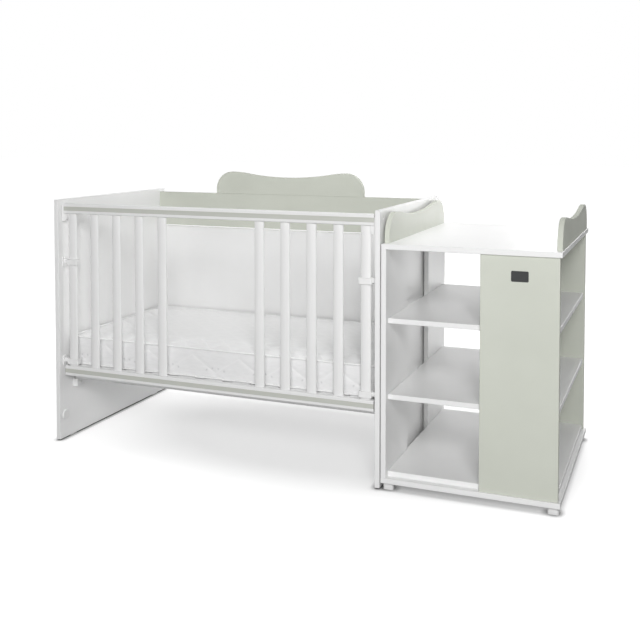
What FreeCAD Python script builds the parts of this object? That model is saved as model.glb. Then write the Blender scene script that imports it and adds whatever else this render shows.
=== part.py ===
import FreeCAD, Part
import math
import os
import Sketcher
from types import SimpleNamespace
from FreeCAD import Placement, Rotation, Vector

# A crib with a drop gate and a changing cabinet at its right end.
# X runs along the length to the right, Y from front to back, Z up from the floor.
# The origin is on the floor, under the middle of the overall box.

# Driving dimensions in millimetres, and counts without a unit.
SIZES = {
    # Boards, edges and fits
    "board": 18.0,
    "edge_break": 1.0,
    "stem_clear": 0.1,
    "stem_end_clear": 1.0,
    "rest_clear": 0.3,
    # Crib end panels
    "crib_length": 1350.0,
    "panel_depth": 792.0,
    "panel_height": 956.0,
    "glide_height": 4.0,
    "glide_length": 40.0,
    "glide_width": 12.0,
    "glide_inset": 70.0,
    "glide_break": 1.0,
    # Back boards and crest
    "back_inset": 24.0,
    "back_below_top": 12.0,
    "upper_board_height": 153.0,
    "back_gap": 6.0,
    "lower_panel_bottom": 201.0,
    "lower_panel_setback": 6.0,
    "crest_length": 711.0,
    "wave_height": 100.0,
    "wave_corner": 80.0,
    "wave_dip": 23.0,
    "wave_turn": 70.0,
    "wave_break": 1.5,
    # Drop gate
    "gate_front": 22.0,
    "gate_below_top": 15.5,
    "gate_bottom": 258.5,
    "gate_end_gap": 11.0,
    "gate_travel": 140.0,
    "gate_stop_clear": 2.0,
    "rail_height": 40.0,
    "rail_depth": 30.0,
    "rail_round": 5.0,
    "band_height": 16.0,
    "band_depth": 3.0,
    "band_recess": 0.4,
    "band_clear": 0.15,
    "slat_width": 38.0,
    "slat_thickness": 16.0,
    "slat_edge_round": 5.0,
    "slat_end_inset": 44.0,
    "slat_places": 13,
    "open_places": 3,
    "slat_tenon": 12.0,
    "tenon_clear": 0.2,
    # Gate shoes and slat guides
    "shoe_height": 62.0,
    "shoe_below_rail": 30.0,
    "shoe_depth": 26.0,
    "shoe_round": 16.0,
    "shoe_small_round": 3.0,
    "shoe_clear": 1.5,
    "nose_radius": 3.0,
    "nose_above_middle": 7.0,
    "catch_radius": 4.0,
    "guide_plate": 4.0,
    "guide_plate_height": 41.0,
    "guide_plate_width": 28.0,
    "guide_plate_round": 6.0,
    "guide_height": 21.0,
    "guide_wall": 5.0,
    "guide_round": 5.0,
    "guide_run_clear": 0.8,
    "guide_arm_width": 14.0,
    "guide_arm_height": 15.0,
    "lower_guide_gap": 7.0,
    # Round cover caps near the floor
    "cap_radius": 20.0,
    "cap_thickness": 6.0,
    "cap_bevel": 1.5,
    "cap_stem_radius": 5.0,
    "cap_stem_length": 8.0,
    "cap_from_front": 36.0,
    "cap_height": 97.0,
    "cap_pin_radius": 2.0,
    "cap_pin_depth": 2.0,
    "cap_pin_apart": 19.0,
    # Mattress base and mattress
    "block_length": 48.0,
    "block_proud": 22.0,
    "block_height": 31.0,
    "block_top": 229.0,
    "block_from_front": 84.0,
    "block_bore_radius": 4.0,
    "block_bore_depth": 10.0,
    "base_rail_width": 20.0,
    "base_rail_height": 55.0,
    "base_rail_step": 11.0,
    "base_end_clear": 2.0,
    "base_slat_width": 70.0,
    "base_slat_thickness": 14.0,
    "base_slat_count": 11,
    "base_slat_margin": 40.0,
    "mattress_end_clear": 7.0,
    "mattress_side_clear": 5.0,
    "mattress_side": 111.0,
    "mattress_crown": 14.0,
    "mattress_corner": 40.0,
    "mattress_waist": 4.0,
    "crown_reach": 250.0,
    "piping_height": 8.0,
    "piping_proud": 3.0,
    # Cabinet
    "join_gap": 4.0,
    "cab_width": 600.0,
    "cab_depth": 814.0,
    "changer_height": 847.0,
    "foot_height": 24.0,
    "foot_size": 35.0,
    "foot_inset": 6.0,
    "foot_break": 4.0,
    "upright_width": 255.0,
    "upright_inset": 8.0,
    "shelf_side_inset": 14.0,
    "upper_shelf_top": 590.0,
    "lower_shelf_top": 327.0,
    "guard_end_inset": 28.0,
    "guard_side_inset": 3.0,
    # Pads between the cabinet and the crib's right end panel
    "pad_size": 40.0,
    "lower_pad_height": 140.0,
    "upper_pad_height": 700.0,
}
# How finely the mattress's piping, sides and crown are stepped.
PIPING_STEPS = 3
SIDE_STEPS = 2
CROWN_STEPS = 4

doc = FreeCAD.newDocument("convertible_crib")
sheet = doc.addObject("Spreadsheet::Sheet", "dims")
for row, (alias, number) in enumerate(SIZES.items(), start=1):
    sheet.set(f"A{row}", alias)
    sheet.set(f"B{row}", str(number))
    sheet.setAlias(f"B{row}", alias)
doc.recompute()


class Size:
    """A number together with the sheet expression that gives it."""

    def __init__(self, value, text):
        self.value = value
        self.text = text

    def __add__(self, other):
        other = as_size(other)
        return Size(self.value + other.value, f"({self.text} + {other.text})")

    def __sub__(self, other):
        other = as_size(other)
        return Size(self.value - other.value, f"({self.text} - {other.text})")

    def __mul__(self, other):
        other = as_size(other)
        return Size(self.value * other.value, f"({self.text} * {other.text})")

    def __truediv__(self, other):
        other = as_size(other)
        return Size(self.value / other.value, f"({self.text} / {other.text})")

    def __neg__(self):
        return Size(-self.value, f"(0 - {self.text})")


def as_size(number):
    return number if isinstance(number, Size) else Size(float(number), repr(float(number)))


d = SimpleNamespace(**{alias: Size(float(number), f"dims.{alias}") for alias, number in SIZES.items()})
ZERO = as_size(0)
nodes = []

# Shared places, worked out once from the driving dimensions.
left = -(d.crib_length + d.join_gap + d.cab_width) / 2
right = left + d.crib_length
front = -d.cab_depth / 2
inner_left = left + d.board
inner_right = right - d.board
inner_length = d.crib_length - d.board * 2
panel_top = d.glide_height + d.panel_height

gate_top = panel_top - d.gate_below_top
top_rail_under = gate_top - d.rail_height
bottom_rail_over = d.gate_bottom + d.rail_height
rail_left = inner_left + d.gate_end_gap
rail_length = inner_length - d.gate_end_gap * 2
gate_face = front + d.gate_front
gate_middle = gate_face + d.rail_depth / 2
gate_back = gate_face + d.rail_depth
slat_pitch = (inner_length - d.slat_end_inset * 2) / (d.slat_places - 1)
slats_a_side = (d.slat_places - d.open_places) / 2
first_slat = inner_left + d.slat_end_inset
second_row = first_slat + slat_pitch * (slats_a_side + d.open_places)
shoe_bottom = top_rail_under - d.shoe_below_rail
catch_height = gate_top - d.rail_height / 2 + d.nose_above_middle

back_face = front + d.panel_depth - d.back_inset - d.board
back_top = panel_top - d.back_below_top
lower_panel_top = back_top - d.upper_board_height - d.back_gap
crest_left = (left + right) / 2 - d.crest_length / 2

base_middle = (gate_back + back_face) / 2
base_under_slats = d.block_top + d.base_rail_height
base_top = base_under_slats + d.base_slat_thickness
mattress_length = inner_length - d.mattress_end_clear * 2
mattress_width = back_face - gate_back - d.mattress_side_clear * 2

cab_left = right + d.join_gap
cab_right = cab_left + d.cab_width
cab_back = front + d.cab_depth
cab_floor = d.foot_height + d.board
changer_under = d.changer_height - d.board
upright_height = changer_under - cab_floor
front_upright_y = front + d.upright_inset
rear_upright_y = cab_back - d.upright_inset - d.upright_width
right_upright_x = cab_right - d.upright_inset - d.upright_width
shelf_left = cab_left + d.board
shelf_front = front_upright_y + d.board
shelf_back = cab_back - d.upright_inset - d.board
shelf_width = d.cab_width - d.board - d.shelf_side_inset
shelf_depth = shelf_back - shelf_front

ALONG = {
    "x": Rotation(Vector(0, 1, 0), 90),
    "y": Rotation(Vector(1, 0, 0), -90),
    "z": Rotation(),
}
HALF_TURN = Rotation(Vector(0, 0, 1), 180)
FLIP = Rotation(Vector(1, 0, 0), 180)


def bind(thing, path, size):
    thing.setExpression(path, as_size(size).text)


def place(thing, at, turn=None):
    if turn:
        thing.Placement = Placement(Vector(), turn)
    for axis, size in zip("xyz", at):
        bind(thing, f"Placement.Base.{axis}", size)


def node(thing, label):
    """Name a finished piece, or a group of like pieces."""
    thing.Label = label
    nodes.append(thing)
    return thing


def block(name, at, size):
    solid = doc.addObject("Part::Box", name)
    for side, length in zip(("Length", "Width", "Height"), size):
        bind(solid, side, length)
    place(solid, at)
    return solid


def rod(name, at, axis, radius, length):
    solid = doc.addObject("Part::Cylinder", name)
    bind(solid, "Radius", radius)
    bind(solid, "Height", length)
    place(solid, at, ALONG[axis])
    return solid


def eased(name, base, size, direction=None):
    """Break a block's edges: those along one direction, or all of them."""
    base.recompute()
    chosen = []
    for number, edge in enumerate(base.Shape.Edges, start=1):
        along = edge.tangentAt(edge.FirstParameter)
        if direction is None or abs(along.dot(direction)) > 0.99:
            chosen.append((number, size.value, size.value))
    chamfer = doc.addObject("Part::Chamfer", name)
    chamfer.Base = base
    chamfer.Edges = chosen
    return chamfer


def group(name, pieces):
    together = doc.addObject("Part::Compound", name)
    together.Links = pieces
    return together


def drill(name, base, bores):
    cut = doc.addObject("Part::Cut", name)
    cut.Base = base
    cut.Tool = group(f"{name}_bores", bores)
    return cut


def board_piece(label, at, size, bores=()):
    """A sawn board with broken edges and the bores that its fittings need."""
    solid = eased(f"{label}_eased", block(f"{label}_blank", at, size), d.edge_break)
    if bores:
        solid = drill(f"{label}_drilled", solid, list(bores))
    return node(solid, label)


def new_body(label, at, turn=None):
    body = doc.addObject("PartDesign::Body", label)
    place(body, at, turn)
    return body


def sketch_on(body, role, lift=None):
    plane = next(part for part in body.Origin.OriginFeatures if part.Role == role)
    sketch = body.newObject("Sketcher::SketchObject", f"{body.Name}_sketch")
    sketch.AttachmentSupport = [(plane, "")]
    sketch.MapMode = "FlatFace"
    if lift is not None:
        bind(sketch, "AttachmentOffset.Base.z", lift)
    return sketch


def arc_between(start, end, radius, outward):
    """An arc under a half circle; outward ones turn left on the way from start to end."""
    chord = end - start
    sagitta = radius - math.sqrt(radius ** 2 - (chord.Length / 2) ** 2)
    side = Vector(chord.y, -chord.x, 0).normalize()
    middle = (start + end) / 2 + side * (sagitta if outward else -sagitta)
    return Part.ArcOfCircle(start, middle, end)


def outline(sketch, points, bends):
    """A closed outline, anticlockwise. bends gives a side's arc as its radius and outward or not."""
    spots = [Vector(x.value, y.value, 0) for x, y in points]
    ends = []
    for side, start in enumerate(spots):
        end = spots[(side + 1) % len(spots)]
        if side in bends:
            radius, outward = bends[side]
            curve = sketch.addGeometry(arc_between(start, end, radius.value, outward))
            ends.append((curve, 1, 2) if outward else (curve, 2, 1))
            rule = sketch.addConstraint(Sketcher.Constraint("Radius", curve, radius.value))
            bind(sketch, f"Constraints[{rule}]", radius)
        else:
            ends.append((sketch.addGeometry(Part.LineSegment(start, end)), 1, 2))
    for side, (curve, first, _) in enumerate(ends):
        before, _, last = ends[side - 1]
        sketch.addConstraint(Sketcher.Constraint("Coincident", before, last, curve, first))
        for kind, size in zip(("DistanceX", "DistanceY"), points[side]):
            rule = sketch.addConstraint(Sketcher.Constraint(kind, -1, 1, curve, first, size.value))
            bind(sketch, f"Constraints[{rule}]", size)


def rounded_rectangle(low, high, radius):
    (x0, y0), (x1, y1) = low, high
    points = [(x0 + radius, y0), (x1 - radius, y0), (x1, y0 + radius), (x1, y1 - radius),
              (x1 - radius, y1), (x0 + radius, y1), (x0, y1 - radius), (x0, y0 + radius)]
    return points, {side: (radius, True) for side in (1, 3, 5, 7)}


def slat_oval(middle, grow):
    """A slat's section: two wide arcs joined by small ones, grown all round for a hole."""
    half_width = d.slat_width / 2 + grow
    half_thickness = d.slat_thickness / 2 + grow
    edge = d.slat_edge_round + grow
    reach = half_width - edge
    face = (reach * reach + half_thickness * half_thickness - edge * edge) / ((half_thickness - edge) * 2)
    x = reach * face / (face - edge)
    y = (face - half_thickness) * edge / (face - edge)
    cx, cy = middle
    points = [(cx + x, cy - y), (cx + x, cy + y), (cx - x, cy + y), (cx - x, cy - y)]
    return points, {0: (edge, True), 1: (face, True), 2: (edge, True), 3: (face, True)}


def wave_outline(length):
    """A board with round corners, a hump near each end and a shallow dip between them."""
    half = length / 2 - d.wave_corner
    both = (half * half + d.wave_dip * d.wave_dip) / (d.wave_dip * 2)
    hump = both * d.wave_turn / half
    inflection = d.wave_height - d.wave_dip * d.wave_turn / half
    corner = d.wave_height - d.wave_corner
    inward = d.wave_corner + d.wave_turn
    points = [(ZERO, ZERO), (length, ZERO), (length, corner), (length - d.wave_corner, d.wave_height),
              (length - inward, inflection), (inward, inflection), (d.wave_corner, d.wave_height),
              (ZERO, corner)]
    bends = {2: (d.wave_corner, True), 3: (hump, True), 4: (both - hump, False), 5: (hump, True),
             6: (d.wave_corner, True)}
    return points, bends


def pad(body, sketch, length, backward=False):
    feature = body.newObject("PartDesign::Pad", f"{body.Name}_pad")
    feature.Profile = sketch
    bind(feature, "Length", length)
    feature.Reversed = backward
    return feature


def pocket(body, sketch, depth, backward=False):
    feature = body.newObject("PartDesign::Pocket", f"{body.Name}_pocket")
    feature.Profile = sketch
    bind(feature, "Length", depth)
    feature.Reversed = backward
    return feature


def ease_outline(body, base, size, wanted):
    """Break those edges of a feature that the test wants."""
    doc.recompute()
    names = [f"Edge{count}" for count, edge in enumerate(base.Shape.Edges, start=1) if wanted(edge)]
    chamfer = body.newObject("PartDesign::Chamfer", f"{body.Name}_chamfer")
    chamfer.Base = (base, names)
    bind(chamfer, "Size", size)
    return chamfer


def wave_board(label, at, length, plane):
    """The crest or a changer guard: a wavy board on its long edge."""
    body = new_body(label, at)
    sketch = sketch_on(body, plane)
    outline(sketch, *wave_outline(length))
    slab = pad(body, sketch, d.board, backward=plane == "XZ_Plane")
    across = Vector(0, 1, 0) if plane == "XZ_Plane" else Vector(1, 0, 0)
    ease_outline(body, slab, d.wave_break, lambda edge: edge.BoundBox.ZMax > d.wave_break.value
                 and abs(edge.tangentAt(edge.FirstParameter).dot(across)) < 0.01)
    node(body, label)


def cap(name, x, turn, pin_x):
    """A round cover cap with a bevelled rim and two pin holes, on a stem in the panel."""
    body = new_body(f"{name}_disc", (x, front + d.cap_from_front, d.cap_height), turn)
    sketch = sketch_on(body, "XZ_Plane")
    points = [(ZERO, -d.cap_stem_length), (d.cap_stem_radius, -d.cap_stem_length), (d.cap_stem_radius, ZERO),
              (d.cap_radius, ZERO), (d.cap_radius, d.cap_thickness - d.cap_bevel),
              (d.cap_radius - d.cap_bevel, d.cap_thickness), (ZERO, d.cap_thickness)]
    outline(sketch, points, {})
    turned = body.newObject("PartDesign::Revolution", f"{name}_turned")
    turned.Profile = sketch
    turned.ReferenceAxis = (sketch, ["V_Axis"])
    turned.Angle = 360
    pins = []
    for height in (d.cap_height - d.cap_pin_apart / 2, d.cap_height + d.cap_pin_apart / 2):
        pins.append(rod(f"{name}_pin_{len(pins)}", (pin_x, front + d.cap_from_front, height), "x",
                        d.cap_pin_radius, d.cap_pin_depth))
    return drill(name, body, pins)


def cap_bore(name, x):
    radius = d.cap_stem_radius + d.stem_clear
    length = d.cap_stem_length + d.stem_end_clear
    return rod(name, (x, front + d.cap_from_front, d.cap_height), "x", radius, length)


def glides():
    """Slim glides, two under each end panel."""
    pieces = []
    far = d.panel_depth - d.glide_inset - d.glide_length
    for side, middle in (("left", left + d.board / 2), ("right", right - d.board / 2)):
        for end, inset in (("front", d.glide_inset), ("rear", far)):
            name = f"{side}_{end}_glide"
            blank = block(f"{name}_blank", (middle - d.glide_width / 2, front + inset, ZERO),
                          (d.glide_width, d.glide_length, d.glide_height))
            pieces.append(eased(name, blank, d.glide_break, Vector(0, 0, 1)))
    node(group("glides", pieces), "panel_glides")


def end_panels():
    """The crib's two ends, each with a catch hole for the gate and a bore for a cover cap."""
    size = (d.board, d.panel_depth, d.panel_height)
    stem_deep = d.cap_stem_length + d.stem_end_clear
    for side, x, stem_start in (("left", left, inner_left - stem_deep), ("right", inner_right, inner_right)):
        catch = rod(f"{side}_catch_hole", (x - d.edge_break, gate_middle, catch_height), "x",
                    d.catch_radius, d.board + d.edge_break * 2)
        board_piece(f"{side}_end_panel", (x, front, d.glide_height), size,
                    [catch, cap_bore(f"{side}_cap_bore", stem_start)])
    pin_start = inner_left + d.cap_thickness - d.cap_pin_depth
    caps = [cap("left_cap", inner_left, ALONG["x"], pin_start),
            cap("right_cap", inner_right, ALONG["x"] * FLIP, inner_right - d.cap_thickness)]
    node(group("caps", caps), "cover_caps")


def back_of_crib():
    """Two back boards between the end panels, and the crest that stands on the upper one."""
    board_piece("upper_back_board", (inner_left, back_face, back_top - d.upper_board_height),
                (inner_length, d.board, d.upper_board_height))
    board_piece("lower_back_panel", (inner_left, back_face + d.lower_panel_setback, d.lower_panel_bottom),
                (inner_length, d.board, lower_panel_top - d.lower_panel_bottom))
    wave_board("back_crest", (crest_left, back_face, back_top), d.crest_length, "XZ_Plane")


def rail_section():
    """A rounded rail with a groove along its front for the band."""
    deep, tall, curve = d.rail_depth, d.rail_height, d.rail_round
    low = (tall - d.band_height) / 2 - d.band_clear
    high = (tall + d.band_height) / 2 + d.band_clear
    points = [(curve, ZERO), (deep - curve, ZERO), (deep, curve), (deep, tall - curve), (deep - curve, tall),
              (curve, tall), (ZERO, tall - curve), (ZERO, high), (d.band_depth, high), (d.band_depth, low),
              (ZERO, low), (ZERO, curve)]
    return points, {side: (curve, True) for side in (1, 3, 5, 11)}


def gate_rail(label, height, sockets_below):
    """A gate rail with two rows of oval sockets, either side of the doorway, below or on top."""
    body = new_body(label, (rail_left, gate_face, height))
    section = sketch_on(body, "YZ_Plane")
    outline(section, *rail_section())
    pad(body, section, rail_length)
    sockets = sketch_on(body, "XY_Plane", ZERO if sockets_below else d.rail_height)
    for start in (first_slat, second_row):
        outline(sockets, *slat_oval((start - rail_left, d.rail_depth / 2), d.tenon_clear))
    socket = pocket(body, sockets, d.slat_tenon + d.tenon_clear, backward=sockets_below)
    row = body.newObject("PartDesign::LinearPattern", f"{label}_sockets")
    row.Originals = [socket]
    row.Direction = (sockets, ["H_Axis"])
    bind(row, "Length", slat_pitch * (slats_a_side - 1))
    bind(row, "Occurrences", slats_a_side)
    body.Tip = row
    node(body, label)


def gate_band(label, height):
    at = (rail_left, gate_face + d.band_recess, height + (d.rail_height - d.band_height) / 2)
    node(block(f"{label}_strip", at, (rail_length, d.band_depth - d.band_recess, d.band_height)), label)


def gate_slats():
    foot = bottom_rail_over - d.slat_tenon
    length = top_rail_under + d.slat_tenon - foot
    a_side = int(slats_a_side.value)
    for number in range(a_side * 2):
        label = f"gate_slat_{number + 1:02d}"
        start = first_slat if number < a_side else second_row
        body = new_body(label, (start + slat_pitch * (number % a_side), gate_middle, foot))
        section = sketch_on(body, "XY_Plane")
        outline(section, *slat_oval((ZERO, ZERO), ZERO))
        pad(body, section, length)
        node(body, label)


def gate_shoe(label, x, turn):
    """A shoe round the top rail's end, with a lobe below the rail and a nose at the catch hole."""
    body = new_body(label, (x, gate_middle, shoe_bottom), turn)
    wide = d.slat_end_inset - d.slat_width / 2 - d.rest_clear
    slim, tall, below = d.gate_end_gap, d.shoe_height, d.shoe_below_rail
    small, large, near = d.shoe_small_round, d.shoe_round, d.shoe_clear
    points = [(near + small, ZERO), (wide - large, ZERO), (wide, large), (wide, below), (slim, below),
              (slim, tall - small), (slim - small, tall), (near + small, tall), (near, tall - small),
              (near, small)]
    side = sketch_on(body, "XZ_Plane")
    outline(side, points, {1: (large, True), 5: (small, True), 7: (small, True), 9: (small, True)})
    shell = pad(body, side, d.shoe_depth)
    shell.Midplane = True
    nose = sketch_on(body, "YZ_Plane", d.rest_clear)
    middle = catch_height - shoe_bottom
    spots = [(-d.nose_radius, middle), (ZERO, middle - d.nose_radius), (d.nose_radius, middle),
             (ZERO, middle + d.nose_radius)]
    outline(nose, spots, {corner: (d.nose_radius, True) for corner in range(len(spots))})
    pad(body, nose, d.gate_end_gap / 2)
    node(body, label)


def slat_guide(label, x, z, turn):
    """A plate on the end panel with an arm and a collar, in which an end slat slides."""
    body = new_body(label, (x, gate_middle, z), turn)
    half = d.guide_plate_width / 2
    low = (d.guide_height - d.guide_plate_height) / 2
    plate = sketch_on(body, "YZ_Plane")
    outline(plate, *rounded_rectangle((-half, low), (half, low + d.guide_plate_height), d.guide_plate_round))
    pad(body, plate, d.guide_plate)
    reach = d.slat_width / 2 + d.guide_run_clear + d.guide_wall
    depth = d.slat_thickness / 2 + d.guide_run_clear + d.guide_wall
    arm = sketch_on(body, "YZ_Plane")
    arm_half = d.guide_arm_width / 2
    arm_low = d.guide_height - d.guide_arm_height
    outline(arm, [(-arm_half, arm_low), (arm_half, arm_low), (arm_half, d.guide_height),
                  (-arm_half, d.guide_height)], {})
    pad(body, arm, d.slat_end_inset - reach + d.guide_wall / 2)
    collar = sketch_on(body, "XY_Plane")
    outline(collar, *rounded_rectangle((d.slat_end_inset - reach, -depth), (d.slat_end_inset + reach, depth),
                                       d.guide_round))
    pad(body, collar, d.guide_height)
    hole = sketch_on(body, "XY_Plane")
    outline(hole, *slat_oval((d.slat_end_inset, ZERO), d.guide_run_clear))
    pocket(body, hole, d.guide_height, backward=True)
    node(body, label)


def gate():
    gate_rail("gate_top_rail", top_rail_under, sockets_below=True)
    gate_rail("gate_bottom_rail", d.gate_bottom, sockets_below=False)
    gate_band("gate_top_band", top_rail_under)
    gate_band("gate_bottom_band", d.gate_bottom)
    gate_slats()
    plate_over = (d.guide_plate_height - d.guide_height) / 2
    upper = shoe_bottom - d.gate_travel - d.gate_stop_clear - plate_over - d.guide_height
    lower = bottom_rail_over + d.lower_guide_gap
    for side, x, turn in (("left", inner_left, None), ("right", inner_right, HALF_TURN)):
        gate_shoe(f"{side}_gate_shoe", x, turn)
        slat_guide(f"{side}_upper_guide", x, upper, turn)
        slat_guide(f"{side}_lower_guide", x, lower, turn)


def mattress_base():
    """Support blocks on the end panels, a four-part frame on them and slats across it."""
    block_size = (d.block_proud, d.block_length, d.block_height)
    low = d.block_top - d.block_height
    near = front + d.block_from_front
    far = base_middle * 2 - near - d.block_length
    blocks = []
    for x, bore_x in ((inner_left, inner_left + d.block_proud - d.block_bore_depth),
                      (inner_right - d.block_proud, inner_right - d.block_proud)):
        for y in (near, far):
            name = f"block_{len(blocks)}"
            solid = eased(f"{name}_eased", block(f"{name}_blank", (x, y, low), block_size), d.edge_break)
            bore = rod(f"{name}_bore", (bore_x, y + d.block_length / 2, low + d.block_height / 2), "x",
                       d.block_bore_radius, d.block_bore_depth)
            blocks.append(drill(name, solid, [bore]))
    node(group("blocks", blocks), "support_blocks")

    rail_x = inner_left + d.base_end_clear
    rail_size = (inner_length - d.base_end_clear * 2, d.base_rail_width, d.base_rail_height)
    front_rail_y = near + d.base_rail_step
    back_rail_y = base_middle * 2 - front_rail_y - d.base_rail_width
    board_piece("base_front_rail", (rail_x, front_rail_y, d.block_top), rail_size)
    board_piece("base_back_rail", (rail_x, back_rail_y, d.block_top), rail_size)
    batten_y = front_rail_y + d.base_rail_width
    batten_size = (d.base_rail_width, back_rail_y - batten_y, d.base_rail_height)
    battens = []
    for x in (rail_x, inner_right - d.base_end_clear - d.base_rail_width):
        name = f"batten_{len(battens)}"
        blank = block(f"{name}_blank", (x, batten_y, d.block_top), batten_size)
        battens.append(eased(name, blank, d.edge_break))
    node(group("battens", battens), "base_end_battens")

    count = SIZES["base_slat_count"]
    span = inner_length - d.base_slat_margin * 2 - d.base_slat_width
    slat_size = (d.base_slat_width, mattress_width, d.base_slat_thickness)
    slats = []
    for number in range(count):
        x = inner_left + d.base_slat_margin + span * number / (d.base_slat_count - 1)
        corner = (x, base_middle - mattress_width / 2, base_under_slats)
        slats.append(eased(f"base_slat_{number}", block(f"base_slat_{number}_blank", corner, slat_size),
                           d.edge_break))
    node(group("slats", slats), "base_slats")


def mattress_section(inset, height):
    """One level of the mattress: rounded corners, with sides that draw in between them."""
    half_x = mattress_length.value / 2 - inset
    half_y = mattress_width.value / 2 - inset
    corner, waist = SIZES["mattress_corner"], SIZES["mattress_waist"]
    turn = corner * (1 - math.sqrt(0.5))

    def spot(x, y):
        return Vector(x, y, height)

    def sides(sx, sy):
        """A corner arc and the side arc after it, for the corner on the given sides, anticlockwise."""
        beside_x = spot(sx * half_x, sy * (half_y - corner))
        beside_y = spot(sx * (half_x - corner), sy * half_y)
        middle = spot(sx * (half_x - turn), sy * (half_y - turn))
        if sx == sy:
            return Part.Arc(beside_x, middle, beside_y), Part.Arc(
                beside_y, spot(0, sy * (half_y - waist)), spot(-sx * (half_x - corner), sy * half_y))
        return Part.Arc(beside_y, middle, beside_x), Part.Arc(
            beside_x, spot(sx * (half_x - waist), 0), spot(sx * half_x, -sy * (half_y - corner)))

    corners = ((1, 1), (-1, 1), (-1, -1), (1, -1))
    return Part.Wire([arc.toShape() for corner_sides in corners for arc in sides(*corner_sides)])


def mattress_levels():
    """Inset and height of each level: sole, lower piping, swelled side, upper piping and crown."""
    side, pipe, proud = SIZES["mattress_side"], SIZES["piping_height"], SIZES["piping_proud"]
    bead = [(proud * (1 - math.sin(turn)), pipe / 2 * (1 - math.cos(turn)))
            for turn in (math.pi * step / PIPING_STEPS for step in range(PIPING_STEPS + 1))]
    levels = list(bead)
    for step in range(1, SIDE_STEPS):
        along = step / SIDE_STEPS
        levels.append((proud * (1 - 2 * along * (1 - along)), pipe + (side - pipe * 2) * along))
    levels += [(inset, side - pipe + height) for inset, height in bead]
    for step in range(1, CROWN_STEPS + 1):
        along = (step / CROWN_STEPS) ** 2
        rise = SIZES["mattress_crown"] * (1 - (1 - along) ** 3)
        levels.append((proud + (SIZES["crown_reach"] - proud) * along, side + rise))
    return levels


def mattress():
    """A piped mattress with a crowned top, lofted from level to level."""
    soft = doc.addObject("Part::Feature", "mattress_soft")
    soft.Shape = Part.makeLoft([mattress_section(*level) for level in mattress_levels()], True, True)
    place(soft, ((left + right) / 2, base_middle, base_top + d.rest_clear))
    node(soft, "mattress")


def cabinet_frame():
    """Base, four uprights, two at each side, and three shelves between them."""
    board_piece("cabinet_base", (cab_left, front, d.foot_height), (d.cab_width, d.cab_depth, d.board))
    lengthwise = (d.board, d.upright_width + d.upright_inset, upright_height)
    crosswise = (d.upright_width, d.board, upright_height)
    board_piece("left_front_upright", (cab_left, front, cab_floor), lengthwise)
    board_piece("left_rear_upright", (cab_left, rear_upright_y, cab_floor), lengthwise)
    board_piece("right_front_upright", (right_upright_x, front_upright_y, cab_floor), crosswise)
    board_piece("right_rear_upright", (right_upright_x, shelf_back, cab_floor), crosswise)
    shelf_size = (shelf_width, shelf_depth, d.board)
    for label, top in (("upper_shelf", d.upper_shelf_top), ("lower_shelf", d.lower_shelf_top),
                       ("bottom_shelf", cab_floor + d.board)):
        board_piece(label, (shelf_left, shelf_front, top - d.board), shelf_size)


def changer():
    """The changing top with a wavy guard along each side."""
    board_piece("changer_top", (cab_left, front, changer_under), (d.cab_width, d.cab_depth, d.board))
    length = d.cab_depth - d.guard_end_inset * 2
    for label, x in (("left_guard", cab_left + d.guard_side_inset),
                     ("right_guard", cab_right - d.guard_side_inset - d.board)):
        wave_board(label, (x, front + d.guard_end_inset, d.changer_height), length, "YZ_Plane")


def feet_and_pads():
    """Feet under the cabinet's corners, and pads between the cabinet and the crib."""
    feet, pads = [], []
    for x in (cab_left + d.foot_inset, cab_right - d.foot_inset - d.foot_size):
        for y in (front + d.foot_inset * 2, cab_back - d.foot_inset * 2 - d.foot_size):
            name = f"foot_{len(feet)}"
            blank = block(f"{name}_blank", (x, y, ZERO), (d.foot_size, d.foot_size, d.foot_height))
            feet.append(eased(name, blank, d.foot_break, Vector(0, 0, 1)))
    node(group("feet", feet), "cabinet_feet")
    for upright in (front_upright_y, rear_upright_y):
        for z in (d.lower_pad_height, d.upper_pad_height):
            corner = (right, upright + (d.upright_width - d.pad_size) / 2, z - d.pad_size / 2)
            pads.append(block(f"pad_{len(pads)}", corner, (d.join_gap, d.pad_size, d.pad_size)))
    node(group("pads", pads), "connector_pads")


def main():
    glides()
    end_panels()
    back_of_crib()
    gate()
    mattress_base()
    mattress()
    cabinet_frame()
    changer()
    feet_and_pads()
    doc.recompute()

    for thing in doc.Objects:
        if "Invalid" in thing.State or "Error" in thing.State:
            raise RuntimeError(f"{thing.Label} did not build: {thing.State}")
    for piece in nodes:
        shape = piece.Shape
        if shape.isNull() or not shape.isValid() or not shape.Solids:
            raise RuntimeError(f"{piece.Label} has no sound solid")
    os.makedirs("parts", exist_ok=True)
    for piece in nodes:
        piece.Shape.exportStep(f"parts/{piece.Label}.step")
        print(piece.Label, len(piece.Shape.Solids), round(piece.Shape.Volume / 1000, 1))


main()
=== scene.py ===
import math

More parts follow.
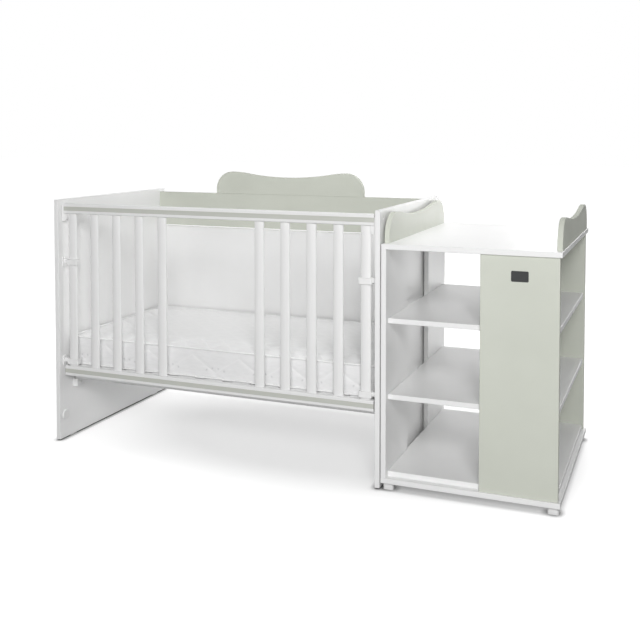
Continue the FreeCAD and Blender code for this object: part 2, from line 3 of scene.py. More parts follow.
import bpy
import numpy as np
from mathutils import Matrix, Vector


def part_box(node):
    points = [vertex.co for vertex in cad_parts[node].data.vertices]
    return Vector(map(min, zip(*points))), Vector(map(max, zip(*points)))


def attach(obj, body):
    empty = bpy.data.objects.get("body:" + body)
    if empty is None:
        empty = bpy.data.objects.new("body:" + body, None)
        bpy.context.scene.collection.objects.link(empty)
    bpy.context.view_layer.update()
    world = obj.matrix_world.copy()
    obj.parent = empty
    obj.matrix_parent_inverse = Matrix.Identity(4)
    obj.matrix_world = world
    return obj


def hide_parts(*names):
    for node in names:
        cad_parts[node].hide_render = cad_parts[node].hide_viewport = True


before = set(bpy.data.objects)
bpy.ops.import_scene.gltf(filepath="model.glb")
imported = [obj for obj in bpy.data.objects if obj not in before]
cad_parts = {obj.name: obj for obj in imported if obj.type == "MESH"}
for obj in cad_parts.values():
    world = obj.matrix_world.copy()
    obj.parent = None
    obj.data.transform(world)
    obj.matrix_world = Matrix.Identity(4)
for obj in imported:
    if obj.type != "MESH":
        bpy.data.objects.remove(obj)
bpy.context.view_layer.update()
scene = bpy.context.scene


# Materials
FLAT = (1, 1, 1)
ALONG_X = (0.04, 1, 1)
ALONG_Y = (1, 0.04, 1)
ALONG_Z = (1, 1, 0.04)
AXES = ((1, 0, 0), (0, 1, 0), (0, 0, 1))
MIX_FACTOR, MIX_FIRST, MIX_SECOND = 0, 6, 7
MIX_COLOUR = 2


class Look:
    """A node material on object coordinates, which are metres in the part's frame."""

    def __init__(self, name, **sockets):
        self.material = bpy.data.materials.new(name)
        self.material.use_nodes = True
        self.tree = self.material.node_tree
        self.shader = self.tree.nodes["Principled BSDF"]
        self.place = self.node("ShaderNodeTexCoord").outputs["Object"]
        for socket, value in sockets.items():
            self.shader.inputs[socket.replace("_", " ")].default_value = value

    def node(self, kind, inputs=None, **settings):
        """A new node with its settings, and with values or links on its inputs."""
        made = self.tree.nodes.new(kind)
        for key, value in settings.items():
            setattr(made, key, value)
        for key, value in (inputs or {}).items():
            self.put(made.inputs[key], value)
        return made

    def put(self, socket, value):
        """Links the socket to another one, or sets its value."""
        if isinstance(value, bpy.types.NodeSocket):
            self.tree.links.new(value, socket)
        else:
            socket.default_value = value

    def noise(self, scale, stretch=FLAT, detail=2.0, roughness=0.5):
        """Even noise, or grain along the axis with the small stretch."""
        spot = self.node("ShaderNodeMapping", {"Vector": self.place, "Scale": stretch})
        return self.node("ShaderNodeTexNoise", {
            "Vector": spot.outputs["Vector"], "Scale": scale, "Detail": detail, "Roughness": roughness,
        }).outputs["Fac"]

    def attribute(self, name):
        """A value that is stored on the mesh's points."""
        return self.node("ShaderNodeAttribute", attribute_name=name).outputs["Fac"]

    def product(self, first, second):
        return self.node("ShaderNodeMath", {0: first, 1: second}, operation="MULTIPLY").outputs["Value"]

    def span(self, factor, low, high, start=0.3, stop=0.7):
        """Stretches a factor from start to stop over the values from low to high."""
        return self.node("ShaderNodeMapRange", {
            "Value": factor, "From Min": start, "From Max": stop, "To Min": low, "To Max": high,
        }).outputs["Result"]

    def ramp(self, factor, dark, light, start=0.3, stop=0.7):
        """Stretches a factor from start to stop over two colours."""
        made = self.node("ShaderNodeValToRGB", {"Fac": factor})
        first, last = made.color_ramp.elements
        first.position, first.color = start, (*dark, 1)
        last.position, last.color = stop, (*light, 1)
        return made.outputs["Color"]

    def mix(self, factor, first, second):
        """Goes from the first colour to the second one as the factor goes from 0 to 1."""
        made = self.node("ShaderNodeMix", data_type="RGBA")
        for index, value in ((MIX_FACTOR, factor), (MIX_FIRST, first), (MIX_SECOND, second)):
            self.put(made.inputs[index], (*value, 1) if isinstance(value, tuple) else value)
        return made.outputs[MIX_COLOUR]

    def edges(self, radius):
        """A mask that is 1 on the object's outer edges, and the normal that rounds them."""
        rounded = self.node("ShaderNodeBevel", {"Radius": radius}, samples=4).outputs["Normal"]
        flat = self.node("ShaderNodeNewGeometry").outputs["Normal"]
        turn = self.node("ShaderNodeVectorMath", {0: rounded, 1: flat}, operation="DOT_PRODUCT")
        return self.span(turn.outputs["Value"], low=1, high=0, start=0.86, stop=0.99), rounded

    def banded(self, across):
        """A mask that is 1 on a board's narrow faces and 0 on its two wide ones."""
        facing = self.node("ShaderNodeNewGeometry").outputs["True Normal"]
        share = self.node("ShaderNodeVectorMath", {0: facing, 1: across}, operation="DOT_PRODUCT")
        size = self.node("ShaderNodeMath", {0: share.outputs["Value"]}, operation="ABSOLUTE")
        return self.span(size.outputs["Value"], low=1, high=0, start=0.45, stop=0.55)

    def bump(self, height, strength, distance, under=None):
        """The normal of a fine relief, laid on the normal under it."""
        made = self.node("ShaderNodeBump", {"Height": height, "Strength": strength, "Distance": distance})
        if under is not None:
            self.put(made.inputs["Normal"], under)
        return made.outputs["Normal"]

    def finish(self, colour, roughness, normal):
        """Links the three to the shader and gives the material."""
        self.put(self.shader.inputs["Base Color"], colour)
        self.put(self.shader.inputs["Roughness"], roughness)
        self.put(self.shader.inputs["Normal"], normal)
        return self.material


BAND_GLOSS = 0.12
BAND_ROUGHER = 0.3


def melamine(name, across, colours, gloss, low, high):
    """A board faced with decor paper: slow drift in tone, fine pores, matt edge bands and rubbed edges."""
    look = Look(name, Specular_IOR_Level=gloss)
    dark, light, edge = colours
    drift = look.ramp(look.noise(scale=5, detail=3), dark, light)
    worn, rounded = look.edges(radius=0.0016)
    rub = look.span(look.noise(scale=60), low=0.35, high=0.9)
    pores = look.noise(scale=1400, detail=1)
    band = look.banded(across)
    satin = look.span(look.noise(scale=22, detail=4), low, high)
    matt = look.node("ShaderNodeMath", {0: band, 1: BAND_ROUGHER, 2: satin}, operation="MULTIPLY_ADD")
    look.put(look.shader.inputs["Specular IOR Level"], look.span(band, gloss, BAND_GLOSS, start=0, stop=1))
    return look.finish(
        look.mix(look.product(worn, rub), drift, edge),
        matt.outputs["Value"],
        look.bump(pores, strength=0.05, distance=0.0002, under=rounded),
    )


def painted(name, along, dark, light, edge):
    """Lacquered timber: the grain shows faintly through the paint."""
    look = Look(name, Specular_IOR_Level=0.4)
    grain = look.noise(scale=150, stretch=along, detail=4, roughness=0.6)
    worn, rounded = look.edges(radius=0.0012)
    rub = look.span(look.noise(scale=80), low=0.2, high=0.8)
    return look.finish(
        look.mix(look.product(worn, rub), look.ramp(grain, dark, light), edge),
        look.span(grain, low=0.34, high=0.46),
        look.bump(grain, strength=0.18, distance=0.0005, under=rounded),
    )


def moulded(name, dark, light, low, high):
    """Moulded plastic or rubber with a fine sandblasted skin."""
    look = Look(name, Specular_IOR_Level=0.4)
    skin = look.noise(scale=1800, detail=2)
    worn, rounded = look.edges(radius=0.0008)
    tone = look.ramp(look.noise(scale=30, detail=3), dark, light)
    return look.finish(
        look.mix(worn, tone, light),
        look.span(look.noise(scale=70), low, high),
        look.bump(skin, strength=0.15, distance=0.0003, under=rounded),
    )


def ticking(name):
    """Mattress cover: a knitted jersey with stitched channels and small tacks."""
    look = Look(name, Specular_IOR_Level=0.15, Sheen_Weight=0.25, Sheen_Roughness=0.5)
    loops = look.noise(scale=900, stretch=(1, 1, 1.6), detail=2)
    slub = look.noise(scale=120, stretch=(0.3, 1, 1), detail=3)
    cloth = look.ramp(slub, dark=(0.83, 0.83, 0.832), light=(0.87, 0.87, 0.872))
    stitch = look.span(look.attribute("stitch"), low=0, high=0.55, start=0, stop=1)
    tack = look.span(look.attribute("tack"), low=0, high=0.6, start=0, stop=1)
    stitched = look.mix(stitch, cloth, (0.91, 0.91, 0.91))
    knit = look.bump(loops, strength=0.35, distance=0.0006)
    return look.finish(
        look.mix(tack, stitched, (0.5, 0.5, 0.51)),
        look.span(loops, low=0.72, high=0.9),
        look.bump(slub, strength=0.15, distance=0.0008, under=knit),
    )


def corded(name):
    """Fabric piping, with the twist of its cord pressing through."""
    look = Look(name, Specular_IOR_Level=0.15, Sheen_Weight=0.3, Sheen_Roughness=0.5)
    weave = look.noise(scale=1100, detail=2)
    twist = look.noise(scale=260, stretch=(1, 1, 0.5), detail=1)
    return look.finish(
        look.ramp(twist, dark=(0.86, 0.86, 0.857), light=(0.91, 0.91, 0.907)),
        look.span(weave, low=0.7, high=0.88),
        look.bump(weave, strength=0.4, distance=0.0005),
    )


def metal(name, dark, light, low, high):
    """Plated or brushed metal with fine scratches."""
    look = Look(name, Metallic=1.0)
    scratch = look.noise(scale=700, stretch=ALONG_X, detail=3)
    worn, rounded = look.edges(radius=0.0004)
    return look.finish(
        look.mix(worn, look.ramp(scratch, dark, light), light),
        look.span(scratch, low, high),
        look.bump(scratch, strength=0.1, distance=0.0002, under=rounded),
    )


def plate_lacquer(name):
    """Dark satin lacquer on a thin metal plate."""
    look = Look(name, Specular_IOR_Level=0.3)
    brush = look.noise(scale=900, stretch=ALONG_X, detail=3)
    worn, rounded = look.edges(radius=0.0005)
    tone = look.ramp(brush, dark=(0.020, 0.022, 0.022), light=(0.034, 0.036, 0.036))
    return look.finish(
        look.mix(worn, tone, (0.10, 0.105, 0.105)),
        look.span(brush, low=0.42, high=0.58),
        look.bump(brush, strength=0.12, distance=0.0002, under=rounded),
    )


# Dark tone, light tone and rubbed edge of each finish
WHITE = ((0.885, 0.885, 0.882), (0.91, 0.91, 0.908), (0.92, 0.92, 0.92))
SAGE = ((0.61, 0.631, 0.56), (0.64, 0.662, 0.59), (0.71, 0.73, 0.67))
GATE_WHITE = ((0.825, 0.825, 0.822), (0.85, 0.85, 0.847), (0.92, 0.92, 0.92))
BAND_SAGE = ((0.53, 0.54, 0.495), (0.57, 0.58, 0.535), (0.62, 0.63, 0.585))

board_white = [
    melamine("board_white_" + axis, across, WHITE, gloss=0.5, low=0.3, high=0.4)
    for axis, across in zip("xyz", AXES)
]
board_sage = melamine("board_sage", AXES[1], SAGE, gloss=0.3, low=0.42, high=0.52)
guard_gloss = melamine("guard_gloss", AXES[0], SAGE, gloss=0.33, low=0.36, high=0.44)
guard_matt = melamine("guard_matt", AXES[0], SAGE, gloss=0.15, low=0.65, high=0.75)
rail_paint = painted("rail_paint", ALONG_X, *GATE_WHITE)
slat_paint = painted("slat_paint", ALONG_Z, *GATE_WHITE)
band_paint = painted("band_paint", ALONG_X, *BAND_SAGE)
base_paint_x = painted("base_paint_x", ALONG_X, *GATE_WHITE)
base_paint_y = painted("base_paint_y", ALONG_Y, *GATE_WHITE)
plastic = moulded("plastic", dark=(0.84, 0.84, 0.836), light=(0.88, 0.88, 0.877), low=0.3, high=0.42)
rubber = moulded("rubber", dark=(0.05, 0.05, 0.052), light=(0.09, 0.09, 0.092), low=0.6, high=0.8)
cover = ticking("cover")
piping_cloth = corded("piping_cloth")
screw_steel = metal("screw_steel", dark=(0.42, 0.42, 0.43), light=(0.62, 0.62, 0.63), low=0.25, high=0.45)
plate_paint = plate_lacquer("plate_paint")

NODE_LOOKS = {
    "upper_back_board": board_sage, "back_crest": board_sage,
    "right_front_upright": board_sage, "right_rear_upright": board_sage,
    "left_guard": guard_gloss, "right_guard": guard_matt,
    "gate_top_rail": rail_paint, "gate_bottom_rail": rail_paint,
    "gate_top_band": band_paint, "gate_bottom_band": band_paint,
    "base_front_rail": base_paint_x, "base_back_rail": base_paint_x,
    "base_end_battens": base_paint_y, "base_slats": base_paint_y,
    "connector_pads": rubber,
}
PLASTIC_NAMES = ("guide", "shoe", "caps", "glides", "feet", "blocks")


def look_of(name):
    """The finish of a CAD piece; a white board's edge bands follow from its thinnest direction."""
    if name.startswith("gate_slat"):
        return slat_paint
    if any(word in name for word in PLASTIC_NAMES):
        return plastic
    low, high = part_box(name)
    thinnest = min(range(3), key=lambda axis: high[axis] - low[axis])
    return NODE_LOOKS.get(name, board_white[thinnest])


for name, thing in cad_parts.items():
    for material_slot in thing.material_slots:
        material_slot.material = look_of(name)


# Meshes
def new_piece(name, points, faces, look, body="crib", smooth=True):
    """A mesh from points and faces that rides on a body of the part."""
    mesh = bpy.data.meshes.new(name)
    mesh.from_pydata([tuple(p) for p in points], [], faces)
    mesh.validate()
    if smooth:
        mesh.shade_smooth()
    mesh.materials.append(look)
    piece = bpy.data.objects.new(name, mesh)
    scene.collection.objects.link(piece)
    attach(piece, body)
    return piece


def rounded_ring(low, high, inset, radius, step):
    """Points on a rounded rectangle, anticlockwise, with the outward direction of each."""
    left, right = low[0] + inset + radius, high[0] - inset - radius
    front, back = low[1] + inset + radius, high[1] - inset - radius
    corners = [(right, front, -90), (right, back, 0), (left, back, 90), (left, front, 180)]
    turns = max(3, round(radius * math.pi / 2 / step))
    points, normals = [], []
    for index, (x, y, start) in enumerate(corners):
        for count in range(turns + 1):
            angle = math.radians(start + 90 * count / turns)
            normal = np.array((math.cos(angle), math.sin(angle)))
            points.append(np.array((x, y)) + radius * normal)
            normals.append(normal)
        ahead = corners[(index + 1) % 4]
        corner_turn = math.radians(ahead[2])
        first = np.array(ahead[:2]) + radius * np.array((math.cos(corner_turn), math.sin(corner_turn)))
        runs = max(1, round(np.linalg.norm(first - points[-1]) / step))
        begin = points[-1]
        for count in range(1, runs):
            points.append(begin + (first - begin) * count / runs)
            normals.append(normals[-1])
    return np.array(points), np.array(normals)


def loft_faces(levels, count):
    """Faces between closed rings of equal length, and one face over each end."""
    faces = [tuple(range(count))[::-1]]
    for level in range(levels - 1):
        here, above = level * count, (level + 1) * count
        for index in range(count):
            ahead = (index + 1) % count
            faces.append((here + index, here + ahead, above + ahead, above + index))
    faces.append(tuple(range((levels - 1) * count, levels * count)))
    return faces


# The mattress: foam in a knitted cover, with piping round both edges
MATTRESS_LOW, MATTRESS_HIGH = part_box("mattress")
LOWEST, HIGHEST = np.array(MATTRESS_LOW), np.array(MATTRESS_HIGH)
CROWN_SPACE = 0.014
CROWN = 0.013
SIDE_TOP = MATTRESS_HIGH.z - CROWN_SPACE
SIDE = SIDE_TOP - MATTRESS_LOW.z
CORNER = 0.040
DOME_ALONG, DOME_ACROSS = 5, 4
WAIST, WAIST_POWER = 0.004, 8
EDGE_ROUND = 0.010
EDGE_MIDDLE = 0.003
RING_STEP = 0.006
VOXEL = 0.006
LOW_CLEAR = (0.0005, 0.0005, 0.0001)
HIGH_CLEAR = 0.0005

# Stuffing
SWELL = 0.005
SWELL_PRESSURE = 4
SWELL_QUALITY = 4
SWELL_STEPS = 20
SEAM_LOW = 0.008
SEAM_TOP = 0.007
SEAM_REACH = 0.012

# The slats of the base, between which the foam sinks
SLATS_LOW, SLATS_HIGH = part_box("base_slats")
SLAT_COUNT = 11
SLAT_WIDTH = 0.070
SLAT_FIRST = SLATS_LOW.x + SLAT_WIDTH / 2
SLAT_LAST = SLATS_HIGH.x - SLAT_WIDTH / 2
SLAT_PITCH = (SLAT_LAST - SLAT_FIRST) / (SLAT_COUNT - 1)
SLAT_MARGIN = 0.001
SAG = 0.0026
SAG_RUN = 0.006
SAG_FADE = 0.03

# Quilting: diamonds on the top, a zigzag and tacks on the sides
TOP_FROM, SIDES_TO, FACING_RUN = 0.6, 0.5, 0.3
DIAMOND = 0.094
TOP_LINE, TOP_LINE_DEPTH = 0.004, 0.0010
TOP_DIP, TOP_DIP_DEPTH = 0.014, 0.0018
TOP_FADE = 0.02
ZIGZAG = 0.196
ZIGZAG_LOW, ZIGZAG_RISE = 0.22, 0.56
ZIGZAG_SLANT = 0.86
SIDE_LINE, SIDE_LINE_DEPTH = 0.0035, 0.0010
SIDE_DIP, SIDE_DIP_DEPTH = 0.011, 0.0014
TACK, TACK_DEPTH = 0.0032, 0.0012
TACKS_A_WAVE = 8
TACK_HIGH, TACK_DROP = 0.40, 0.26
TACK_PHASE = 0.55
STITCH_SHOW = 0.6

# Piping
PIPING = 0.004
PIPING_PROUD = 0.003
PIPING_SIDES = 12
PIPING_STEP = 0.007
PIPING_TWIST = 0.9
PIPING_UNEVEN = 0.04
TOP_PIPING_DROP = 0.001
LOW_PIPING_LIFT = 0.0002


def mattress_start():
    """The unstuffed cover: a rounded block a little smaller than the mattress."""
    levels = [(EDGE_ROUND, 0), (EDGE_MIDDLE, EDGE_MIDDLE), (0, EDGE_ROUND)]
    levels += [(inset, SIDE - rise) for inset, rise in reversed(levels)]
    points = []
    for inset, rise in levels:
        ring, _ = rounded_ring(MATTRESS_LOW, MATTRESS_HIGH, PIPING_PROUD + inset, CORNER - inset, RING_STEP)
        points += [(x, y, MATTRESS_LOW.z + rise) for x, y in ring]
    mesh = bpy.data.meshes.new("mattress_pad")
    mesh.from_pydata(points, [], loft_faces(len(levels), len(points) // len(levels)))
    mesh.materials.append(cover)
    pad = bpy.data.objects.new("mattress_pad", mesh)
    scene.collection.objects.link(pad)
    return pad


def work_in(piece):
    """Replaces the piece's mesh by the one that its modifiers make."""
    done = bpy.data.meshes.new_from_object(piece.evaluated_get(bpy.context.evaluated_depsgraph_get()))
    piece.modifiers.clear()
    piece.data = done


def places(piece):
    """The piece's points, one row each."""
    found = np.empty(len(piece.data.vertices) * 3)
    piece.data.vertices.foreach_get("co", found)
    return found.reshape(-1, 3)


def set_places(piece, found):
    """Moves the piece's points."""
    piece.data.vertices.foreach_set("co", found.ravel())
    piece.data.update()


def formed(found):
    """Crowns the top and draws the sides in between the corners."""
    middle, half = (LOWEST + HIGHEST) / 2, (HIGHEST - LOWEST) / 2
    along = np.clip((found - middle) / half, -1, 1)
    height = np.clip((found[:, 2] - MATTRESS_LOW.z) / SIDE, 0, 1)
    dome = (1 - np.abs(along[:, 0]) ** DOME_ALONG) * (1 - np.abs(along[:, 1]) ** DOME_ACROSS)
    found[:, 2] += CROWN * dome * np.clip((height - 0.5) * 2, 0, 1)
    waist = WAIST * 4 * height * (1 - height)
    for axis, other in ((0, 1), (1, 0)):
        bow = np.sqrt(np.clip(1 - along[:, other] ** 2, 0, 1))
        outward = np.sign(along[:, axis]) * np.abs(along[:, axis]) ** WAIST_POWER
        found[:, axis] -= outward * waist * bow
    return found


def edge_distance(found):
    """How far each point lies inside the mattress's outline, seen from above."""
    inside = np.minimum(found[:, :2] - LOWEST[:2], HIGHEST[:2] - found[:, :2])
    return inside.min(axis=1)


def swelled(pad):
    """Stuffs the cover by cloth simulation, held along both seams, and caps how far it moves."""
    start = places(pad)
    low_seam = start[:, 2] - MATTRESS_LOW.z < SEAM_LOW
    top_seam = (np.abs(start[:, 2] - SIDE_TOP) < SEAM_TOP) & (edge_distance(start) < SEAM_REACH)
    seam = pad.vertex_groups.new(name="seam")
    seam.add([int(i) for i in np.flatnonzero(low_seam | top_seam)], 1, "REPLACE")
    cloth = pad.modifiers.new("swell", "CLOTH")
    cloth.settings.use_pressure = True
    cloth.settings.uniform_pressure_force = SWELL_PRESSURE
    cloth.settings.vertex_group_mass = seam.name
    cloth.settings.effector_weights.gravity = 0
    cloth.settings.quality = SWELL_QUALITY
    cloth.collision_settings.use_collision = False
    cloth.point_cache.frame_end = SWELL_STEPS
    for step in range(1, SWELL_STEPS + 1):
        scene.frame_set(step)
    work_in(pad)
    scene.frame_set(1)
    move = places(pad) - start
    far = np.linalg.norm(move, axis=1, keepdims=True)
    pad.vertex_groups.clear()
    set_places(pad, start + move * np.minimum(1, SWELL / np.maximum(far, 1e-9)))


def sunk(x):
    """How far the foam sinks between the slats of the base, at places along the bed."""
    number = np.round((np.clip(x, SLAT_FIRST, SLAT_LAST) - SLAT_FIRST) / SLAT_PITCH)
    nearest = number * SLAT_PITCH + SLAT_FIRST
    past_slat = np.abs(x - nearest) - SLAT_WIDTH / 2 - SLAT_MARGIN
    return SAG * np.clip(past_slat / SAG_RUN, 0, 1)


def line_mask(distance, width):
    """1 on a line, falling softly to 0 at about twice its width."""
    return np.exp(-((distance / width) ** 2))


def quilted(pad):
    """Sews diamond channels on the top and zigzag channels with tacks on the sides."""
    found = places(pad)
    normals = np.empty(len(found) * 3)
    pad.data.vertices.foreach_get("normal", normals)
    normals = normals.reshape(-1, 3)
    upward = np.clip((normals[:, 2] - TOP_FROM) / FACING_RUN, 0, 1)
    upward *= np.clip(edge_distance(found) / TOP_FADE, 0, 1)
    sideways = np.clip((SIDES_TO - np.abs(normals[:, 2])) / FACING_RUN, 0, 1)

    rise = (found[:, 0] + found[:, 1]) / DIAMOND
    fall = (found[:, 0] - found[:, 1]) / DIAMOND
    nearest = np.minimum(np.abs(rise - np.round(rise)), np.abs(fall - np.round(fall)))
    nearest *= DIAMOND / math.sqrt(2)
    top_line = line_mask(nearest, TOP_LINE) * upward
    top_dip = line_mask(nearest, TOP_DIP) * upward

    run = np.where(np.abs(normals[:, 0]) > np.abs(normals[:, 1]), found[:, 1], found[:, 0])
    phase = np.abs((run / ZIGZAG) % 1 - 0.5) * 2
    height = (found[:, 2] - MATTRESS_LOW.z) / SIDE
    offset = np.abs(height - (ZIGZAG_LOW + ZIGZAG_RISE * phase)) * SIDE * ZIGZAG_SLANT
    side_line = line_mask(offset, SIDE_LINE) * sideways
    side_dip = line_mask(offset, SIDE_DIP) * sideways

    tack_pitch = ZIGZAG / TACKS_A_WAVE
    tack_along = ((run / tack_pitch) % 1 - 0.5) * tack_pitch
    tack_above = np.abs(height - (TACK_HIGH - TACK_DROP * phase)) * SIDE
    tack = line_mask(np.hypot(tack_along, tack_above), TACK) * sideways * (phase < TACK_PHASE)

    depth = TOP_DIP_DEPTH * top_dip + TOP_LINE_DEPTH * top_line + TACK_DEPTH * tack
    depth += SIDE_DIP_DEPTH * side_dip + SIDE_LINE_DEPTH * side_line
    found = np.clip(found - normals * depth[:, None], LOWEST + LOW_CLEAR, HIGHEST - HIGH_CLEAR)
    found[:, 2] -= sunk(found[:, 0]) * np.clip(1 - (found[:, 2] - MATTRESS_LOW.z) / SAG_FADE, 0, 1)
    set_places(pad, found)
    for name, values in (("stitch", np.maximum(top_line * STITCH_SHOW, side_line)), ("tack", tack)):
        stored = pad.data.attributes.new(name, "FLOAT", "POINT")
        stored.data.foreach_set("value", values.astype(np.float32))


pad = mattress_start()
pad.modifiers.new("remesh", "REMESH").voxel_size = VOXEL
work_in(pad)
set_places(pad, formed(places(pad)))
swelled(pad)
pad.modifiers.new("finer", "SUBSURF").levels = 1
work_in(pad)
quilted(pad)
pad.data.shade_smooth()
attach(pad, "crib")
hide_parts("mattress")


def piping(name, height, sinks):
    """A cord in a fabric strip, sewn round the mattress; the lower one sinks with the foam."""
    ring, normals = rounded_ring(MATTRESS_LOW, MATTRESS_HIGH, PIPING, CORNER - PIPING, PIPING_STEP)
    points = []
    for index, (centre, outward) in enumerate(zip(ring, normals)):
        for turn in range(PIPING_SIDES):
            angle = 2 * math.pi * turn / PIPING_SIDES
            uneven = PIPING_UNEVEN * (math.sin(2 * angle + index * PIPING_TWIST) - 1)
            size = PIPING * (1 + uneven)
            x, y = centre + outward * size * math.cos(angle)
            points.append((x, y, height + size * math.sin(angle) - sinks * sunk(centre[0])))
    faces = []
    for index in range(len(ring)):
        here, ahead = index * PIPING_SIDES, (index + 1) % len(ring) * PIPING_SIDES
        for turn in range(PIPING_SIDES):
            after = (turn + 1) % PIPING_SIDES
            faces.append((here + turn, ahead + turn, ahead + after, here + after))
    return new_piece(name, points, faces, piping_cloth)


piping("mattress_piping_top", SIDE_TOP - TOP_PIPING_DROP, sinks=0)
piping("mattress_piping_bottom", MATTRESS_LOW.z + PIPING + LOW_PIPING_LIFT, sinks=1)


# The bare plate on the cabinet's front
PLATE_WIDTH, PLATE_HEIGHT = 0.056, 0.035
PLATE_FROM_LEFT, PLATE_FROM_TOP = 0.1005, 0.0495
PLATE_CORNER = 0.004
PLATE_STEP = 0.0012
# Insets from the plate's outline and rises off the board
PLATE_RIM = ((0, 0), (0, 0.0010), (0.0003, 0.0013), (0.0011, 0.0013), (0.0015, 0.0010))


def badge_plate():
    """A bare name plate with rounded corners and a raised rim."""
    low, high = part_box("right_front_upright")
    left, top = low.x + PLATE_FROM_LEFT, high.z - PLATE_FROM_TOP
    points = []
    for inset, rise in PLATE_RIM:
        ring, _ = rounded_ring((left, top - PLATE_HEIGHT), (left + PLATE_WIDTH, top),
                               inset, PLATE_CORNER - inset, PLATE_STEP)
        points += [(x, low.y - rise, z) for x, z in ring]
    faces = loft_faces(len(PLATE_RIM), len(points) // len(PLATE_RIM))
    return new_piece("badge_plate", points, faces, plate_paint, smooth=False)


badge_plate()


# The screws in the bores of the support blocks
BLOCK_PROUD, BLOCK_LENGTH, BORE_DEPTH = 0.022, 0.048, 0.010
SCREW_RADIUS, SCREW_DOME = 0.0036, 0.004
SCREW_SIDES = 24
# Shares of the radius and of the dome's height
HEAD_PROFILE = ((1, 0), (1, 0.35), (0.93, 0.65), (0.78, 0.9), (0.6, 1))
SOCKET_SHARE, SOCKET_FLOOR = 0.45, 0.3


def screw(name, place, direction):
    """A raised screw head with a hexagon socket, standing on its seat."""
    axis = Vector(direction)
    side = axis.orthogonal().normalized()
    across = axis.cross(side)
    angles = [2 * math.pi * i / SCREW_SIDES for i in range(SCREW_SIDES)]
    sixth = math.pi / 3
    hexagon = [SOCKET_SHARE * math.cos(sixth / 2) / math.cos(angle % sixth - sixth / 2) for angle in angles]
    levels = [([share] * SCREW_SIDES, rise) for share, rise in HEAD_PROFILE]
    levels += [(hexagon, 1), (hexagon, SOCKET_FLOOR)]
    points = []
    for shares, rise in levels:
        for angle, share in zip(angles, shares):
            spoke = side * math.cos(angle) + across * math.sin(angle)
            points.append(Vector(place) + spoke * SCREW_RADIUS * share + axis * SCREW_DOME * rise)
    return new_piece(name, points, loft_faces(len(levels), SCREW_SIDES), screw_steel, smooth=False)


blocks_low, blocks_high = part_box("support_blocks")
for end, x, inward in (("left", blocks_low.x, 1), ("right", blocks_high.x, -1)):
    for row, y in (("front", blocks_low.y + BLOCK_LENGTH / 2), ("rear", blocks_high.y - BLOCK_LENGTH / 2)):
        seat = (x + inward * (BLOCK_PROUD - BORE_DEPTH), y, (blocks_low.z + blocks_high.z) / 2)
        screw(f"{end}_{row}_block_screw", seat, (inward, 0, 0))


# Light: places, targets and sizes in metres, power in watts, spread in degrees
def lamp(name, place, target, size, power, spread=180):
    """A rectangular lamp, turned to its target."""
    light = bpy.data.lights.new(name, "AREA")
    light.shape = "RECTANGLE"
    light.size, light.size_y = size
    light.spread = math.radians(spread)
    light.energy = power
    holder = bpy.data.objects.new(name, light)
    holder.location = place
    holder.rotation_euler = (Vector(target) - Vector(place)).to_track_quat("-Z", "Y").to_euler()
    scene.collection.objects.link(holder)


lamp("key", place=(2.2, -4.4, 3.0), target=(0, 0, 0.5), size=(1.2, 1.2), power=92)
lamp("front", place=(0.9, -4.4, 1.7), target=(0.1, 0, 0.5), size=(3.0, 2.6), power=83)
lamp("top", place=(-0.35, -0.1, 2.5), target=(-0.35, 0, 0.4), size=(0.9, 0.5), power=0.7, spread=60)
lamp("over", place=(0.93, 0.5, 2.4), target=(-0.1, 0, 0.75), size=(0.5, 0.5), power=4.8, spread=110)
lamp("under", place=(0.6, 2.4, 0.18), target=(-0.96, 0.2, 0.1), size=(0.8, 0.25), power=1.6, spread=50)
lamp("shelves", place=(1.6, 1.9, 0.35), target=(0.35, 0.05, 0.4), size=(0.5, 0.4), power=0.42, spread=40)
lamp("left", place=(-4.0, 0.4, 1.6), target=(-0.6, 0, 0.5), size=(2.5, 2.0), power=32)
lamp("back", place=(0, 3, 3), target=(0, 0, 0.5), size=(3.0, 2.0), power=34)
lamp("back_low", place=(1.3, 4.0, 1.3), target=(0.3, 0, 0.6), size=(2.5, 1.8), power=27)


# Background, floor and camera
SKY_LIGHT, SKY_SEEN = 0.1, 1.0
FLOOR_REACH = 30
FLOOR_GREY = (0.5, 0.5, 0.5, 1)
FADE_OVAL = (0.8, 1.5, 1)
FADE_START, FADE_STOP, FADE_LEAST = 0.5, 1.2, 0.54
# Reaches of the painted contact shade on the floor, and the least that the wider one leaves of the glow
GAP_REACH, NEAR_REACH, NEAR_LEAST = 0.027, 0.14, 0.7
SHADE_SAMPLES = 8
CAMERA_PLACE = (1.3268, -3.3278, 1.2231)
CAMERA_TURN = (90 - 2.337, 0, 21.880)
CAMERA_LENS = 51.032
CAMERA_SENSOR = 36
CAMERA_SHIFT = -0.2344


def seen_directly(tree):
    """1 for rays from the camera, mirrors and glass, and 0 for light that falls on things."""
    path = tree.nodes.new("ShaderNodeLightPath")
    total = path.outputs["Is Camera Ray"]
    for name in ("Is Glossy Ray", "Is Transmission Ray"):
        either = tree.nodes.new("ShaderNodeMath")
        either.operation = "MAXIMUM"
        tree.links.new(total, either.inputs[0])
        tree.links.new(path.outputs[name], either.inputs[1])
        total = either.outputs[0]
    return total


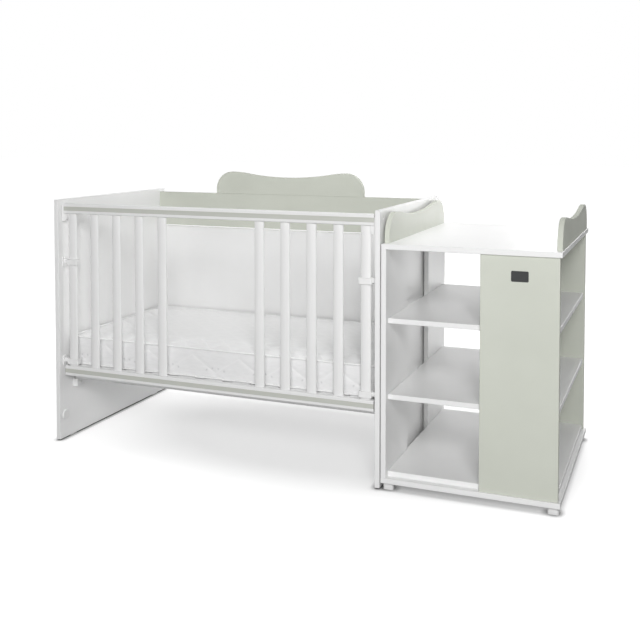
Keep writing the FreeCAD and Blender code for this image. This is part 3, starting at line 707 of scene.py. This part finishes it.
def studio_world():
    """Even soft light from all round, before a white background."""
    world = bpy.data.worlds.new("studio")
    world.use_nodes = True
    tree = world.node_tree
    sky = tree.nodes["Background"]
    sky.inputs["Color"].default_value = (1, 1, 1, 1)
    level = tree.nodes.new("ShaderNodeMapRange")
    level.inputs["To Min"].default_value = SKY_LIGHT
    level.inputs["To Max"].default_value = SKY_SEEN
    tree.links.new(seen_directly(tree), level.inputs["Value"])
    tree.links.new(level.outputs["Result"], sky.inputs["Strength"])
    scene.world = world


def floor_look():
    """Grey in the object's shadow and fading into the white background; ambient occlusion paints contact
    shade into its colour and glow, darkest in the gaps.
    """
    look = Look("floor", Roughness=0.9, Specular_IOR_Level=0.0, Emission_Color=(1, 1, 1, 1))
    oval = look.node("ShaderNodeMapping", {"Vector": look.place, "Scale": FADE_OVAL})
    away = look.node("ShaderNodeVectorMath", {0: oval.outputs["Vector"]}, operation="LENGTH")
    fade = look.span(away.outputs["Value"], FADE_LEAST, 1, FADE_START, FADE_STOP)
    # Painted shade: ambient occlusion darkens the floor's colour and glow under and beside the object, most
    # of all in narrow gaps
    painted_gap_shade, painted_near_shade = [
        look.node("ShaderNodeAmbientOcclusion", {"Distance": reach}, samples=SHADE_SAMPLES)
        for reach in (GAP_REACH, NEAR_REACH)
    ]
    painted_gap_shade.inputs["Color"].default_value = FLOOR_GREY
    look.put(look.shader.inputs["Base Color"], painted_gap_shade.outputs["Color"])
    painted_soft_shade = look.span(painted_near_shade.outputs["AO"], NEAR_LEAST, 1, start=0, stop=1)
    # The glow takes the painted gap shade twice and the wider painted shade once
    glow = fade
    for part in (painted_gap_shade.outputs["AO"], painted_gap_shade.outputs["AO"], painted_soft_shade, seen_directly(look.tree)):
        glow = look.product(glow, part)
    look.put(look.shader.inputs["Emission Strength"], glow)
    return look.material


def studio_floor():
    """A pale floor that keeps the object's shadow."""
    corners = [(x * FLOOR_REACH, y * FLOOR_REACH, 0) for x, y in ((-1, -1), (1, -1), (1, 1), (-1, 1))]
    mesh = bpy.data.meshes.new("floor")
    mesh.from_pydata(corners, [], [(0, 1, 2, 3)])
    mesh.materials.append(floor_look())
    floor = bpy.data.objects.new("floor", mesh)
    scene.collection.objects.link(floor)


def studio_camera():
    """The camera that took the photograph, found by fitting the part's edges to it."""
    camera = bpy.data.cameras.new("camera")
    camera.sensor_width = CAMERA_SENSOR
    camera.lens = CAMERA_LENS
    camera.shift_y = CAMERA_SHIFT
    viewer = bpy.data.objects.new("camera", camera)
    viewer.location = CAMERA_PLACE
    viewer.rotation_euler = [math.radians(turn) for turn in CAMERA_TURN]
    scene.collection.objects.link(viewer)
    scene.camera = viewer


studio_world()
studio_floor()
studio_camera()
scene.view_settings.view_transform = "Standard"
